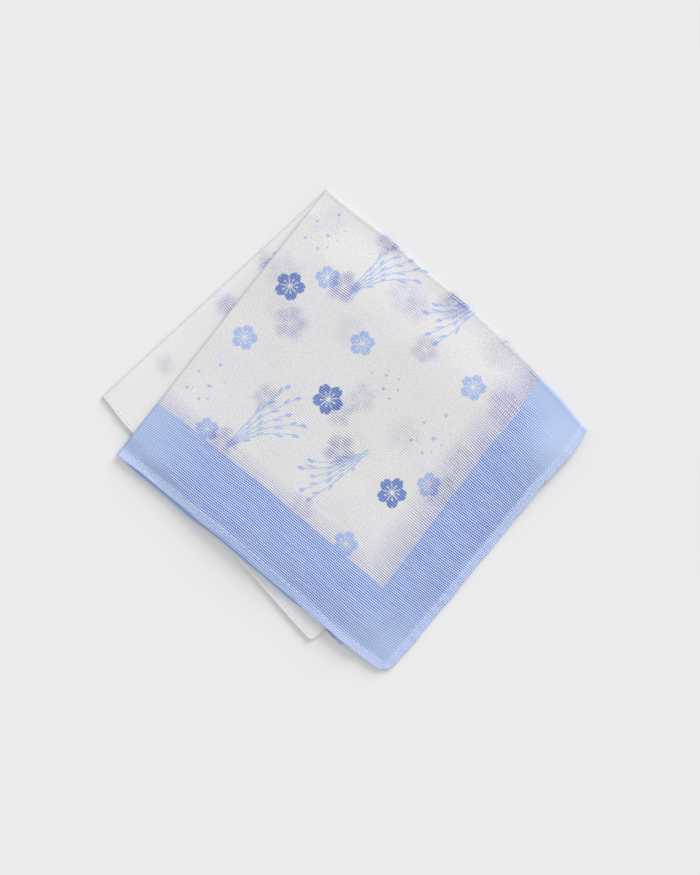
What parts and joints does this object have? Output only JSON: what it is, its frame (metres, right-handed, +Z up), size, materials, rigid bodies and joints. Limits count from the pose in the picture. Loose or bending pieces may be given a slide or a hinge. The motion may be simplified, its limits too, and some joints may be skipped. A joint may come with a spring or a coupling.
{
  "type": "folded handkerchief",
  "caption": "Square cotton gauze handkerchief with a wide printed border on two sides, folded in quarters and lying flat, the lower layers a little askew.",
  "frame": {"origin": "middle of the folded cloth's footprint, on the surface it lies on", "axes": "+Z up out of the cloth, +X along the front hem away from the first fold, +Y from the front hem towards the second fold"},
  "size_m": [0.2048, 0.1852, 0.007],
  "materials": {
    "printed_gauze": "matt plain-weave cotton gauze, slightly sheer, printed in two light blues on white"
  },
  "bodies": {
    "root": {"handkerchief": "printed_gauze"}
  },
  "joints": []
}
